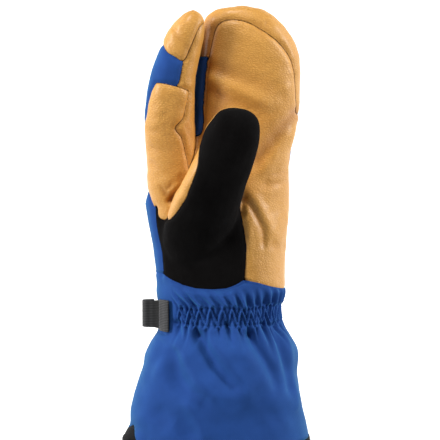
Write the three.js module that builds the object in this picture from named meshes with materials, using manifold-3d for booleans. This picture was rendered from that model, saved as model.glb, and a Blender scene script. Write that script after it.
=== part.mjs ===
// A left-hand lobster claw mitt for cold weather: the index finger has a stall of its own,
// the other three fingers share one, and the thumb stands in front of the palm.
// Millimetres, +Z up towards the fingertips. The palm faces -Y and the thumb side is -X.
// The mitt stands on the hem of its gauntlet, with the origin under the middle of its box.
import * as THREE from "three";
import { mergeVertices } from "three/addons/utils/BufferGeometryUtils.js";
import Module from "manifold-3d";

const wasm = await Module();
wasm.setup();

// Driving sizes of the hand part.
const wristLine = 130; // floor to the wrist, where the hand's shares start
const handLength = 226; // wrist line to fingertip
const handWidth = 114; // across the palm
const handDepth = 60; // palm to back, at the heel
const handWall = 4; // leather or shell fabric with its insulation
const seamGap = 0.3; // between any two panels

// Driving sizes of the gauntlet.
const gauntletWidth = 145; // at the hem
const gauntletDepth = 112; // at the hem
const gauntletWall = 4.2; // shell, padding and lining together
const cuffHeight = 136; // floor to the cuff seam
const hemHeight = 12; // folded tape round the bottom edge
const hemLip = 0.6; // how far the tape stands proud of the wall on both faces
const gatherCount = 32; // folds drawn up by the elastic, round the wrist
const gatherDepth = 1.7;
const upperElasticDrop = 16.5; // cuff seam down to the upper row of elastic
const lowerElasticDrop = 28.5; // cuff seam down to the lower row of elastic
const gatherFade = 16; // how far the folds run above and below the elastic
const gatherBias = 0.2; // how much more of each fold lies inwards
const foldDepth = 3; // the long soft folds of the gauntlet
const foldReach = 1.2; // how early the long folds fade out above the hem
const foldRound = 0.7; // how quickly they start

// Driving sizes of the flared gusset at the thumb side of the hem.
const gussetHeight = 24; // floor to its point
const gussetPoint = 19; // its point stands this far in front of the side
const gussetFront = 31; // its front edge at the hem tape, in front of the side
const gussetBack = 15; // its back edge at the hem tape, behind the side
const gussetFlare = 6; // how far it kicks out at the hem
const gussetFlareRise = 14; // the height over which it kicks out
const gussetMiddle = 0.52; // share of a full turn from +X
const gussetSpread = 0.085; // half its width, as a share of a full turn

// Driving sizes of the webbing pull loop at the thumb side of the wrist.
const webbingWidth = 25;
const webbingThickness = 1.5;
const loopReach = 13.5; // how far the loop stands out from the side of the wrist
const loopEye = 8; // between the middles of its two leaves
const loopDrop = 24; // cuff seam down to the middle of the webbing
const loopClearance = 0.8; // between the sewn tail and the cloth under it
const loopFlat = { turn: 0.55, half: 0.08, ease: 0.02 }; // where the cloth under it has no gathers

// How finely the shapes are cut.
const handSides = 32;
const stallSides = 20;
const gatherSides = 3; // points to each gathered fold
const liningSides = 20;
const liningEvery = 2; // the lining follows every second section
const webbingSteps = 30;
const outside = 100; // a reach that clears the whole mitt

// Heights that follow the cuff seam.
const upperElastic = cuffHeight - upperElasticDrop;
const lowerElastic = cuffHeight - lowerElasticDrop;
const loopHeight = cuffHeight - loopDrop;

// Each row is a level section: rise is a share of the hand's length, left and right are the
// section's edges as shares of its width, and middle and deep are its centre line and half
// depth as shares of its depth.
const fingersAndPalm = [
  { rise: -0.08, left: -0.439, right: 0.447, middle: 0, deep: 0.583 },
  { rise: 0, left: -0.439, right: 0.451, middle: 0, deep: 0.575 },
  { rise: 0.088, left: -0.451, right: 0.451, middle: -0.02, deep: 0.55 },
  { rise: 0.159, left: -0.465, right: 0.459, middle: -0.03, deep: 0.533 },
  { rise: 0.243, left: -0.504, right: 0.471, middle: -0.035, deep: 0.517 },
  { rise: 0.31, left: -0.52, right: 0.475, middle: -0.035, deep: 0.5 },
  { rise: 0.376, left: -0.475, right: 0.478, middle: -0.05, deep: 0.483 },
  { rise: 0.442, left: -0.375, right: 0.482, middle: -0.067, deep: 0.467 },
  { rise: 0.509, left: -0.26, right: 0.493, middle: -0.083, deep: 0.458 },
  { rise: 0.566, left: -0.205, right: 0.522, middle: -0.1, deep: 0.45 },
  { rise: 0.628, left: -0.2, right: 0.551, middle: -0.125, deep: 0.442 },
  { rise: 0.708, left: -0.195, right: 0.555, middle: -0.167, deep: 0.433 },
  { rise: 0.774, left: -0.185, right: 0.553, middle: -0.2, deep: 0.408 },
  { rise: 0.832, left: -0.165, right: 0.537, middle: -0.242, deep: 0.367 },
  { rise: 0.885, left: -0.145, right: 0.5, middle: -0.283, deep: 0.317 },
  { rise: 0.929, left: -0.121, right: 0.44, middle: -0.317, deep: 0.258 },
  { rise: 0.962, left: -0.092, right: 0.371, middle: -0.342, deep: 0.2 },
  { rise: 0.987, left: -0.022, right: 0.289, middle: -0.358, deep: 0.133 },
  { rise: 1, left: 0.13, right: 0.15, middle: -0.365, deep: 0.01 },
];
const indexStall = [
  { rise: 0.243, left: -0.43, right: -0.13, middle: -0.133, deep: 0.25 },
  { rise: 0.31, left: -0.469, right: -0.145, middle: -0.16, deep: 0.283 },
  { rise: 0.376, left: -0.494, right: -0.155, middle: -0.2, deep: 0.3 },
  { rise: 0.442, left: -0.496, right: -0.158, middle: -0.245, deep: 0.31 },
  { rise: 0.5, left: -0.504, right: -0.161, middle: -0.3, deep: 0.3 },
  { rise: 0.553, left: -0.505, right: -0.172, middle: -0.36, deep: 0.29 },
  { rise: 0.597, left: -0.511, right: -0.178, middle: -0.405, deep: 0.285 },
  { rise: 0.65, left: -0.51, right: -0.179, middle: -0.445, deep: 0.285 },
  { rise: 0.704, left: -0.499, right: -0.179, middle: -0.485, deep: 0.285 },
  { rise: 0.748, left: -0.478, right: -0.175, middle: -0.515, deep: 0.285 },
  { rise: 0.788, left: -0.458, right: -0.16, middle: -0.545, deep: 0.28 },
  { rise: 0.832, left: -0.423, right: -0.139, middle: -0.575, deep: 0.265 },
  { rise: 0.874, left: -0.391, right: -0.121, middle: -0.607, deep: 0.245 },
  { rise: 0.909, left: -0.357, right: -0.107, middle: -0.637, deep: 0.22 },
  { rise: 0.942, left: -0.305, right: -0.098, middle: -0.66, deep: 0.18 },
  { rise: 0.969, left: -0.246, right: -0.13, middle: -0.682, deep: 0.108 },
  { rise: 0.985, left: -0.19, right: -0.17, middle: -0.69, deep: 0.01 },
];
const thumbStall = [
  { rise: 0.088, left: -0.351, right: 0, middle: -0.2, deep: 0.3 },
  { rise: 0.177, left: -0.395, right: 0.044, middle: -0.333, deep: 0.333 },
  { rise: 0.243, left: -0.382, right: 0.092, middle: -0.483, deep: 0.35 },
  { rise: 0.31, left: -0.336, right: 0.134, middle: -0.65, deep: 0.342 },
  { rise: 0.35, left: -0.305, right: 0.151, middle: -0.75, deep: 0.333 },
  { rise: 0.401, left: -0.252, right: 0.18, middle: -0.858, deep: 0.325 },
  { rise: 0.445, left: -0.204, right: 0.211, middle: -0.933, deep: 0.317 },
  { rise: 0.487, left: -0.165, right: 0.239, middle: -1, deep: 0.308 },
  { rise: 0.522, left: -0.139, right: 0.26, middle: -1.05, deep: 0.303 },
  { rise: 0.556, left: -0.118, right: 0.269, middle: -1.092, deep: 0.297 },
  { rise: 0.59, left: -0.092, right: 0.266, middle: -1.125, deep: 0.275 },
  { rise: 0.614, left: -0.057, right: 0.254, middle: -1.15, deep: 0.242 },
  { rise: 0.631, left: -0.034, right: 0.23, middle: -1.163, deep: 0.205 },
  { rise: 0.647, left: -0.004, right: 0.187, middle: -1.175, deep: 0.15 },
  { rise: 0.659, left: 0.075, right: 0.095, middle: -1.18, deep: 0.01 },
];
// The gauntlet's sections: rise is a share of the cuff's height, the others are shares of the
// gauntlet's width and depth.
const gauntletSections = [
  { rise: 0, left: -0.5, right: 0.5, deep: 0.5 },
  { rise: 0.088, left: -0.497, right: 0.493, deep: 0.491 },
  { rise: 0.184, left: -0.493, right: 0.476, deep: 0.482 },
  { rise: 0.257, left: -0.488, right: 0.459, deep: 0.473 },
  { rise: 0.338, left: -0.474, right: 0.448, deep: 0.464 },
  { rise: 0.426, left: -0.454, right: 0.438, deep: 0.455 },
  { rise: 0.515, left: -0.428, right: 0.434, deep: 0.446 },
  { rise: 0.588, left: -0.411, right: 0.426, deep: 0.433 },
  { rise: 0.64, left: -0.39, right: 0.412, deep: 0.415 },
  { rise: 0.684, left: -0.362, right: 0.39, deep: 0.389 },
  { rise: 0.735, left: -0.334, right: 0.361, deep: 0.357 },
  { rise: 0.798, left: -0.324, right: 0.337, deep: 0.334 },
  { rise: 0.838, left: -0.326, right: 0.331, deep: 0.33 },
  { rise: 0.879, left: -0.33, right: 0.331, deep: 0.33 },
  { rise: 0.956, left: -0.345, right: 0.352, deep: 0.33 },
  { rise: 1, left: -0.343, right: 0.353, deep: 0.326 },
  { rise: 1.12, left: -0.345, right: 0.355, deep: 0.306 },
];
// Long soft folds of the gauntlet: turn is where the fold starts at the wrist, as a share of a
// full turn from +X, lean is how far it wanders by the hem, and wide is its spread.
const gauntletFolds = [
  { turn: 0.62, lean: 0.03, wide: 0.02, depth: 0.7 },
  { turn: 0.69, lean: 0.07, wide: 0.024, depth: 1 },
  { turn: 0.75, lean: 0.08, wide: 0.022, depth: 0.6 },
  { turn: 0.84, lean: 0.06, wide: 0.024, depth: 0.9 },
  { turn: 0.93, lean: 0.02, wide: 0.02, depth: 0.5 },
  { turn: 0.1, lean: 0.04, wide: 0.026, depth: 0.8 },
  { turn: 0.22, lean: -0.05, wide: 0.026, depth: 0.9 },
  { turn: 0.36, lean: -0.06, wide: 0.024, depth: 0.8 },
  { turn: 0.46, lean: -0.02, wide: 0.02, depth: 0.6 },
];

// The webbing's way out from the wrist and back: out is a share of its reach from the side of
// the wrist, and forward a share of the loop's eye. Its sewn tail lies along the wrist first.
const loopTailTurns = [0.6, 0.592, 0.584, 0.576];
const loopPath = [
  { out: 0.16, forward: 1.78 },
  { out: 0.5, forward: 1.62 },
  { out: 0.8, forward: 1.5 },
  { out: 0.945, forward: 1.2 },
  { out: 0.93, forward: 0.8 },
  { out: 0.75, forward: 0.56 },
  { out: 0.5, forward: 0.5 },
  { out: 0.3, forward: 0.46 },
];

// Seam lines as the palm side shows them: across is a share of the hand's width and rise a
// share of its length.
const cuffSeamLine = [
  { across: -0.9, rise: 0.08 },
  { across: -0.44, rise: 0.07 },
  { across: -0.385, rise: 0.062 },
  { across: -0.328, rise: 0.045 },
  { across: -0.261, rise: 0.031 },
  { across: -0.169, rise: 0.021 },
  { across: -0.04, rise: 0.018 },
  { across: 0.05, rise: 0.022 },
  { across: 0.11, rise: 0.034 },
  { across: 0.168, rise: 0.05 },
  { across: 0.263, rise: 0.04 },
  { across: 0.338, rise: 0.027 },
  { across: 0.417, rise: 0.014 },
  { across: 0.47, rise: 0.004 },
  { across: 0.9, rise: 0.004 },
];
// The back of the cuff seam runs straight from side to side.
const cuffBackLine = [...cuffSeamLine.slice(0, 2), ...cuffSeamLine.slice(-2)];
const blackPanelOutline = [
  { across: -0.395, rise: -0.1 },
  { across: -0.395, rise: 0.073 },
  { across: -0.405, rise: 0.138 },
  { across: -0.422, rise: 0.187 },
  { across: -0.44, rise: 0.236 },
  { across: -0.447, rise: 0.274 },
  { across: -0.448, rise: 0.311 },
  { across: -0.434, rise: 0.299 },
  { across: -0.432, rise: 0.273 },
  { across: -0.415, rise: 0.26 },
  { across: -0.388, rise: 0.257 },
  { across: -0.333, rise: 0.27 },
  { across: -0.275, rise: 0.309 },
  { across: -0.229, rise: 0.345 },
  { across: -0.195, rise: 0.394 },
  { across: -0.166, rise: 0.435 },
  { across: -0.152, rise: 0.465 },
  { across: -0.149, rise: 0.495 },
  { across: -0.135, rise: 0.525 },
  { across: -0.126, rise: 0.548 },
  { across: -0.15, rise: 0.6 },
  { across: -0.1, rise: 0.7 },
  { across: 0.28, rise: 0.7 },
  { across: 0.33, rise: 0.56 },
  { across: 0.25, rise: 0.44 },
  { across: 0.165, rise: 0.36 },
  { across: 0.14, rise: 0.315 },
  { across: 0.149, rise: 0.266 },
  { across: 0.168, rise: 0.213 },
  { across: 0.18, rise: 0.172 },
  { across: 0.178, rise: 0.134 },
  { across: 0.172, rise: 0.086 },
  { across: 0.168, rise: -0.1 },
];
const indexTipLine = [
  { across: -0.6, rise: 0.905 },
  { across: -0.42, rise: 0.883 },
  { across: -0.394, rise: 0.872 },
  { across: -0.359, rise: 0.842 },
  { across: -0.306, rise: 0.827 },
  { across: -0.245, rise: 0.81 },
  { across: -0.203, rise: 0.851 },
  { across: -0.182, rise: 0.875 },
  { across: -0.161, rise: 0.902 },
  { across: -0.129, rise: 0.929 },
  { across: -0.06, rise: 0.96 },
];
const indexFaceOutline = [
  { across: -0.7, rise: 0.31 },
  { across: -0.48, rise: 0.31 },
  { across: -0.448, rise: 0.3 },
  { across: -0.432, rise: 0.27 },
  { across: -0.42, rise: 0.245 },
  { across: -0.2, rise: 0.245 },
  { across: -0.2, rise: 0.4 },
  { across: -0.217, rise: 0.433 },
  { across: -0.225, rise: 0.468 },
  { across: -0.239, rise: 0.497 },
  { across: -0.252, rise: 0.526 },
  { across: -0.265, rise: 0.549 },
  { across: -0.299, rise: 0.569 },
  { across: -0.314, rise: 0.582 },
  { across: -0.248, rise: 0.614 },
  { across: -0.238, rise: 0.637 },
  { across: -0.222, rise: 0.681 },
  { across: -0.21, rise: 0.708 },
  { across: -0.255, rise: 0.718 },
  { across: -0.325, rise: 0.727 },
  { across: -0.376, rise: 0.734 },
  { across: -0.43, rise: 0.737 },
  { across: -0.7, rise: 0.737 },
];
// How far back the leather of the index side reaches: back is a share of the hand's depth.
const indexSideSeam = [
  { back: -0.29, rise: 0.2 },
  { back: -0.29, rise: 0.311 },
  { back: -0.2, rise: 0.336 },
  { back: -0.13, rise: 0.376 },
  { back: -0.2, rise: 0.45 },
  { back: -0.27, rise: 0.5 },
  { back: -0.34, rise: 0.553 },
  { back: -0.45, rise: 0.593 },
  { back: -0.53, rise: 0.62 },
  { back: -0.58, rise: 0.655 },
  { back: -0.65, rise: 0.699 },
  { back: -0.73, rise: 0.74 },
];
const forkStripOutline = [
  { across: -0.4, rise: 0.43 },
  { across: -0.217, rise: 0.43 },
  { across: -0.205, rise: 0.45 },
  { across: -0.185, rise: 0.483 },
  { across: -0.17, rise: 0.52 },
  { across: -0.165, rise: 0.547 },
  { across: -0.06, rise: 0.553 },
  { across: -0.06, rise: 0.99 },
  { across: -0.129, rise: 0.929 },
  { across: -0.245, rise: 0.81 },
  { across: -0.261, rise: 0.77 },
  { across: -0.279, rise: 0.73 },
  { across: -0.4, rise: 0.7 },
];
const palmSeamLine = [
  { across: -0.2, rise: 0.545 },
  { across: -0.145, rise: 0.552 },
  { across: -0.128, rise: 0.575 },
  { across: -0.126, rise: 0.6 },
  { across: -0.128, rise: 0.653 },
  { across: -0.122, rise: 0.707 },
  { across: -0.109, rise: 0.76 },
  { across: -0.102, rise: 0.814 },
  { across: -0.083, rise: 0.851 },
  { across: -0.07, rise: 0.876 },
  { across: -0.054, rise: 0.908 },
  { across: -0.031, rise: 0.93 },
  { across: 0.005, rise: 0.946 },
  { across: 0.053, rise: 0.954 },
  { across: 0.108, rise: 0.954 },
  { across: 0.171, rise: 0.949 },
  { across: 0.235, rise: 0.934 },
  { across: 0.298, rise: 0.914 },
  { across: 0.361, rise: 0.893 },
  { across: 0.418, rise: 0.867 },
  { across: 0.457, rise: 0.843 },
  { across: 0.489, rise: 0.815 },
  { across: 0.509, rise: 0.779 },
  { across: 0.52, rise: 0.731 },
  { across: 0.528, rise: 0.683 },
  { across: 0.54, rise: 0.63 },
  { across: 0.58, rise: 0.6 },
];
// How far back the palm leather reaches on the outer side.
const palmSideSeam = [
  { back: 0.05, rise: -0.2 },
  { back: 0.05, rise: 0.31 },
  { back: -0.02, rise: 0.41 },
  { back: -0.115, rise: 0.45 },
  { back: -0.125, rise: 0.5 },
  { back: -0.04, rise: 0.55 },
  { back: -0.06, rise: 0.63 },
  { back: -0.13, rise: 0.774 },
  { back: -0.2, rise: 0.885 },
  { back: -0.25, rise: 1.1 },
];
// The front of the thumb: black in front of this line, leather behind it.
const thumbSideSeam = [
  { back: -0.13, rise: -0.2 },
  { back: -0.13, rise: 0.345 },
  { back: -0.68, rise: 0.365 },
  { back: -0.85, rise: 0.401 },
  { back: -0.93, rise: 0.445 },
  { back: -1, rise: 0.487 },
  { back: -1.05, rise: 0.522 },
  { back: -1.09, rise: 0.556 },
  { back: -1.12, rise: 0.59 },
  { back: -1.18, rise: 0.659 },
  { back: -1.2, rise: 0.75 },
];
const backCapShare = 0.84; // the fingertip leather reaches this far down the back
const palmSeamInCap = 7; // the palm's seam borders the fingertip leather from this row on
// The rest of the fingertip leather's bounds, after the palm seam.
const capBounds = [
  { across: 0.9, rise: 0.6 },
  { across: 0.9, rise: 1.2 },
  { across: -0.9, rise: 1.2 },
  { across: -0.9, rise: 0.828 },
  { across: -0.102, rise: 0.828 },
];
// The rest of the palm leather's bounds, after the palm seam.
const palmBounds = [
  { across: 0.9, rise: 0.6 },
  { across: 0.9, rise: -0.5 },
  { across: -0.12, rise: -0.5 },
  { across: -0.32, rise: 0.38 },
];
const thumbCrotchShare = 0.25; // where the thumb's leather starts
const forkStripShare = 0.06; // how far the fork strip reaches behind the stall's middle

const materials = {
  leather: new THREE.MeshStandardMaterial({ color: 0xd9a35c, roughness: 0.6 }),
  blueShell: new THREE.MeshStandardMaterial({ color: 0x2a5ca6, roughness: 0.75 }),
  blackFleece: new THREE.MeshStandardMaterial({ color: 0x141213, roughness: 0.95 }),
  blackTrim: new THREE.MeshStandardMaterial({ color: 0x17171a, roughness: 0.85 }),
  webbing: new THREE.MeshStandardMaterial({ color: 0x3a3a3b, roughness: 0.8 }),
};

// A closed solid through level rings of points, lowest first, each running anticlockwise.
function loft(rings) {
  const sides = rings[0].length;
  const points = [];
  const faces = [];
  for (const ring of rings) {
    points.push(...ring);
  }
  const middleOf = (ring) => ring.reduce((sum, p) => sum.add(p), new THREE.Vector3()).divideScalar(sides);
  points.push(middleOf(rings[0]), middleOf(rings.at(-1)));
  const low = points.length - 2;
  const high = points.length - 1;
  const top = (rings.length - 1) * sides;
  for (let side = 0; side < sides; side++) {
    const next = (side + 1) % sides;
    for (let row = 0; row < rings.length - 1; row++) {
      const here = row * sides;
      const above = here + sides;
      faces.push(here + side, here + next, above + next, here + side, above + next, above + side);
    }
    faces.push(low, next, side, high, top + side, top + next);
  }
  const geometry = new THREE.BufferGeometry().setFromPoints(points);
  geometry.setIndex(faces);
  return geometry;
}

function solid(geometry) {
  const bare = new THREE.BufferGeometry();
  bare.setAttribute("position", geometry.getAttribute("position"));
  bare.setIndex(geometry.index);
  const merged = mergeVertices(bare, 1e-4);
  return new wasm.Manifold(
    new wasm.Mesh({
      numProp: 3,
      vertProperties: new Float32Array(merged.attributes.position.array),
      triVerts: new Uint32Array(merged.index.array),
    }),
  );
}

function geometryOf(manifold) {
  const mesh = manifold.getMesh();
  const geometry = new THREE.BufferGeometry();
  geometry.setAttribute("position", new THREE.BufferAttribute(new Float32Array(mesh.vertProperties), 3));
  geometry.setIndex(new THREE.BufferAttribute(new Uint32Array(mesh.triVerts), 1));
  geometry.computeVertexNormals();
  return geometry;
}

const largest = (manifold) =>
  manifold.decompose().reduce((best, body) => (body.volume() > best.volume() ? body : best));

// A point of a rounded section: 0 of a turn is +X, and the form is a little squarer than an ellipse.
const sectionPower = 0.9;
function onSection(turn, left, right, middle, deep, height) {
  const angle = turn * 2 * Math.PI;
  const round = (value) => Math.sign(value) * Math.abs(value) ** sectionPower;
  const x = (left + right) / 2 + ((right - left) / 2) * round(Math.cos(angle));
  return new THREE.Vector3(x, middle + deep * round(Math.sin(angle)), height);
}

// A stall of the hand, made smaller by inset on every side. Its lowest section stays in place.
const mostTrim = 0.8; // the tip's small sections lose no more than this share
function stall(table, sides, inset, every = 1) {
  const rows = table.filter((_, i) => i % every === 0 || i === table.length - 1);
  const last = table.at(-1).rise;
  const first = table[0].rise;
  const shrink = 1 - inset / ((last - first) * handLength);
  return solid(
    loft(
      rows.map((row) => {
        const rise = first + (row.rise - first) * shrink;
        const halfWidth = ((row.right - row.left) / 2) * handWidth;
        const trim = Math.min(inset, halfWidth * mostTrim, row.deep * handDepth * mostTrim);
        return Array.from({ length: sides }, (_, side) =>
          onSection(
            side / sides,
            row.left * handWidth + trim,
            row.right * handWidth - trim,
            row.middle * handDepth,
            row.deep * handDepth - trim,
            wristLine + rise * handLength,
          ),
        );
      }),
    ),
  );
}

// A closed outline moved outwards by distance. The outline runs anticlockwise.
function grown(outline, distance) {
  return outline.map((point, i) => {
    const before = outline.at(i - 1);
    const after = outline[(i + 1) % outline.length];
    const along = after.clone().sub(before).normalize();
    return new THREE.Vector2(point.x + along.y * distance, point.y - along.x * distance);
  });
}

function anticlockwise(outline) {
  return THREE.ShapeUtils.isClockWise(outline) ? outline.slice().reverse() : outline;
}

// Extra points between the corners of an open line, on a smooth curve through them.
const smoothed = (line, steps = 1) => new THREE.SplineCurve(line).getPoints(line.length * steps);

const onFront = ({ across, rise }) => new THREE.Vector2(across * handWidth, wristLine + rise * handLength);
const onSide = ({ back, rise }) => new THREE.Vector2(back * handDepth, wristLine + rise * handLength);

// A prism that runs right through the mitt from front to back.
function frontPrism(outline, gap) {
  const shape = new THREE.Shape(grown(anticlockwise(outline), gap));
  const prism = new THREE.ExtrudeGeometry(shape, { depth: 2 * outside, bevelEnabled: false });
  prism.rotateX(Math.PI / 2).translate(0, outside, 0);
  return solid(prism);
}

// A prism along X, from an outline of depths and heights.
function sidePrism(outline, lowX, highX) {
  const prism = new THREE.ExtrudeGeometry(new THREE.Shape(outline), { depth: highX - lowX, bevelEnabled: false });
  prism.applyMatrix4(
    new THREE.Matrix4().makeBasis(
      new THREE.Vector3(0, 1, 0),
      new THREE.Vector3(0, 0, 1),
      new THREE.Vector3(1, 0, 0),
    ),
  );
  return solid(prism.translate(lowX, 0, 0));
}

// Everything in front of a side seam line.
function inFrontOf(line, gap) {
  const seam = line.map(onSide);
  const outline = [
    ...seam.map((point) => new THREE.Vector2(point.x + gap, point.y)),
    new THREE.Vector2(-2 * outside, seam.at(-1).y),
    new THREE.Vector2(-2 * outside, seam[0].y),
  ];
  return sidePrism(anticlockwise(outline), -outside, outside);
}

// Everything above a line that crosses the front.
function above(line, gap) {
  const points = smoothed(line.map(onFront), 2);
  const ceiling = wristLine + 2 * handLength;
  const outline = [...points, new THREE.Vector2(points.at(-1).x, ceiling), new THREE.Vector2(points[0].x, ceiling)];
  return frontPrism(outline, gap);
}

// Everything above the cuff seam, which curves across the palm side and runs straight behind.
function aboveCuff(gap) {
  const palmHalf = inFrontOf([{ back: 0, rise: -1 }, { back: 0, rise: 2 }], 0);
  return above(cuffSeamLine, gap).intersect(palmHalf).add(above(cuffBackLine, gap).subtract(palmHalf));
}

function box(lowX, highX, lowZ, highZ, gap) {
  const corners = [
    [lowX, lowZ],
    [highX, lowZ],
    [highX, highZ],
    [lowX, highZ],
  ];
  return frontPrism(
    corners.map(([x, z]) => new THREE.Vector2(x, z)),
    gap,
  );
}

// The gauntlet's outer radius is worked out from its sections, the gathers and the soft folds.
function between(table, rise) {
  const upper = Math.max(1, table.findIndex((row) => row.rise >= rise));
  const low = table[upper - 1];
  const high = table[upper];
  const share = THREE.MathUtils.clamp((rise - low.rise) / (high.rise - low.rise), 0, 1);
  const mix = (column) => THREE.MathUtils.lerp(low[column], high[column], share);
  return { left: mix("left"), right: mix("right"), deep: mix("deep") };
}

// The gathers stand out and in; the cloth lies flat under the webbing.
function gatherAt(turn, height) {
  const away = Math.max(height - upperElastic, lowerElastic - height, 0);
  const strength = Math.max(0, 1 - away / gatherFade) ** 2;
  const halfway = (height - lowerElastic) / (upperElastic - lowerElastic);
  const shift = THREE.MathUtils.clamp(halfway, 0, 1) * 0.5;
  const fromTail = Math.abs(turn - loopFlat.turn);
  const free = THREE.MathUtils.smoothstep(fromTail, loopFlat.half, loopFlat.half + loopFlat.ease);
  return gatherDepth * strength * free * (Math.cos((turn * gatherCount + shift) * 2 * Math.PI) - gatherBias);
}

function foldAt(turn, height) {
  const down = 1 - height / lowerElastic;
  if (down <= 0) {
    return 0;
  }
  const strength = Math.sin(Math.min(down * foldReach, 1) * Math.PI) ** foldRound;
  return gauntletFolds.reduce((sum, fold) => {
    const centre = fold.turn + fold.lean * down;
    const away = Math.abs(((turn - centre + 1.5) % 1) - 0.5) / (fold.wide * (1 + down));
    return sum - fold.depth * foldDepth * strength * Math.exp(-away * away);
  }, 0);
}

function flareAt(turn, height) {
  const down = THREE.MathUtils.smoothstep(gussetHeight - height, 0, gussetFlareRise);
  const across = Math.max(0, 1 - ((turn - gussetMiddle) / gussetSpread) ** 2);
  return gussetFlare * down * across;
}

function gauntletRing(height, sides, inset, folded) {
  const { left, right, deep } = between(gauntletSections, height / cuffHeight);
  return Array.from({ length: sides }, (_, side) => {
    const turn = side / sides;
    const out = flareAt(turn, height) - inset + (folded ? gatherAt(turn, height) + foldAt(turn, height) : 0);
    return onSection(
      turn,
      left * gauntletWidth - out,
      right * gauntletWidth + out,
      0,
      deep * gauntletDepth + out,
      height,
    );
  });
}

function gauntletForm(heights, sides, inset, folded) {
  return solid(loft(heights.map((height) => gauntletRing(height, sides, inset, folded))));
}

const gauntletTop = cuffHeight * 1.12;
const elasticStep = (upperElastic - lowerElastic) / 3;
const lowFadeEnd = lowerElastic - gatherFade;
const gauntletHeights = [
  0,
  hemHeight,
  gussetHeight - gussetFlareRise / 3,
  gussetHeight + gussetFlareRise / 2,
  lowFadeEnd * 0.52,
  lowFadeEnd * 0.78,
  lowFadeEnd,
  lowerElastic - gatherFade / 3,
  lowerElastic,
  lowerElastic + elasticStep,
  upperElastic - elasticStep,
  upperElastic,
  upperElastic + gatherFade / 3,
  upperElastic + gatherFade * 0.8,
  gauntletTop,
];
const liningHeights = [
  0,
  hemHeight,
  gussetHeight,
  lowFadeEnd * 0.52,
  lowFadeEnd * 0.8,
  lowFadeEnd,
  lowerElastic,
  upperElastic,
  gauntletTop,
];

// The hand: one skin round three stalls, cut into its panels.
const outer = stall(fingersAndPalm, handSides, 0)
  .add(stall(indexStall, stallSides, 0))
  .add(stall(thumbStall, stallSides, 0));
const inner = stall(fingersAndPalm, liningSides, handWall, liningEvery)
  .add(stall(indexStall, stallSides - 8, handWall, liningEvery))
  .add(stall(thumbStall, stallSides - 8, handWall, liningEvery));
let handRest = outer.subtract(inner).intersect(aboveCuff(-seamGap / 2));

const thumbRegion = (gap) => stall(thumbStall, stallSides, -seamGap - gap);
const indexRegion = (gap) => stall(indexStall, stallSides, -seamGap - gap);
const crotchHeight = wristLine + thumbCrotchShare * handLength;
const roof = wristLine + 2 * handLength;

const panelRegions = {
  thumb_back: (gap) =>
    frontPrism(blackPanelOutline.map(onFront), gap).intersect(inFrontOf(thumbSideSeam, gap)),
  thumb_inner: (gap) => thumbRegion(gap).intersect(box(-outside, outside, crotchHeight, roof, gap)),
  index_tip: (gap) => above(indexTipLine, gap).intersect(indexRegion(gap)),
  index_face: (gap) =>
    frontPrism(indexFaceOutline.map(onFront), gap).intersect(inFrontOf(indexSideSeam, gap)),
  index_fork_strip: (gap) =>
    frontPrism(forkStripOutline.map(onFront), gap)
      .intersect(
        inFrontOf(
          indexStall.map(({ middle, rise }) => ({ back: middle + forkStripShare, rise })),
          gap,
        ),
      )
      .intersect(indexRegion(gap)),
  finger_cap: (gap) => {
    const seam = smoothed(palmSeamLine.slice(palmSeamInCap).map(onFront));
    const front = frontPrism([...seam, ...capBounds.map(onFront)], gap).intersect(inFrontOf(palmSideSeam, gap));
    const back = box(-outside, outside, wristLine + backCapShare * handLength, roof, gap);
    return front.add(back.subtract(inFrontOf(palmSideSeam, -gap))).subtract(indexRegion(0));
  },
  palm_panel: (gap) =>
    frontPrism([...smoothed(palmSeamLine.map(onFront)), ...palmBounds.map(onFront)], gap).intersect(
      inFrontOf(palmSideSeam, gap),
    ),
};
const panelMaterials = {
  thumb_back: materials.blackFleece,
  back_panel: materials.blueShell,
};

const mitt = new THREE.Group();
function addPiece(name, geometry, material) {
  const piece = new THREE.Mesh(geometry, material);
  piece.name = name;
  mitt.add(piece);
}

for (const [name, regionOf] of Object.entries(panelRegions)) {
  const region = regionOf(0);
  const panel = handRest.intersect(region);
  handRest = handRest.subtract(region).subtract(regionOf(seamGap));
  addPiece(name, geometryOf(largest(panel)), panelMaterials[name] ?? materials.leather);
}
addPiece("back_panel", geometryOf(largest(handRest)), panelMaterials.back_panel);

// The gauntlet: gathered wrist, soft folds, a gusset at the thumb side and a taped hem.
const gauntletLining = (inset) => gauntletForm(liningHeights, liningSides, inset, false);
const gauntletSkin = gauntletForm(gauntletHeights, gatherCount * gatherSides, 0, true)
  .subtract(gauntletLining(gauntletWall))
  .subtract(aboveCuff(seamGap / 2))
  .subtract(box(-outside, outside, -outside, hemHeight + seamGap, 0));

const gussetOutline = [
  new THREE.Vector2(-gussetPoint, gussetHeight),
  new THREE.Vector2(-gussetFront, hemHeight),
  new THREE.Vector2(-gussetFront, 0),
  new THREE.Vector2(gussetBack, 0),
  new THREE.Vector2(gussetBack, hemHeight),
];
const gussetRegion = (gap) => sidePrism(grown(anticlockwise(gussetOutline), gap), -outside, -gauntletWidth / 4);
addPiece("gauntlet", geometryOf(largest(gauntletSkin.subtract(gussetRegion(seamGap)))), materials.blueShell);
addPiece("side_gusset", geometryOf(largest(gauntletSkin.intersect(gussetRegion(0)))), materials.blackTrim);

const hemSides = gatherCount * 1.5;
const hem = gauntletForm([0, hemHeight], hemSides, -hemLip, false)
  .subtract(gauntletForm([-hemHeight, 2 * hemHeight], liningSides, gauntletWall + hemLip, false));
addPiece("hem_binding", geometryOf(hem), materials.blackTrim);

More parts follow.
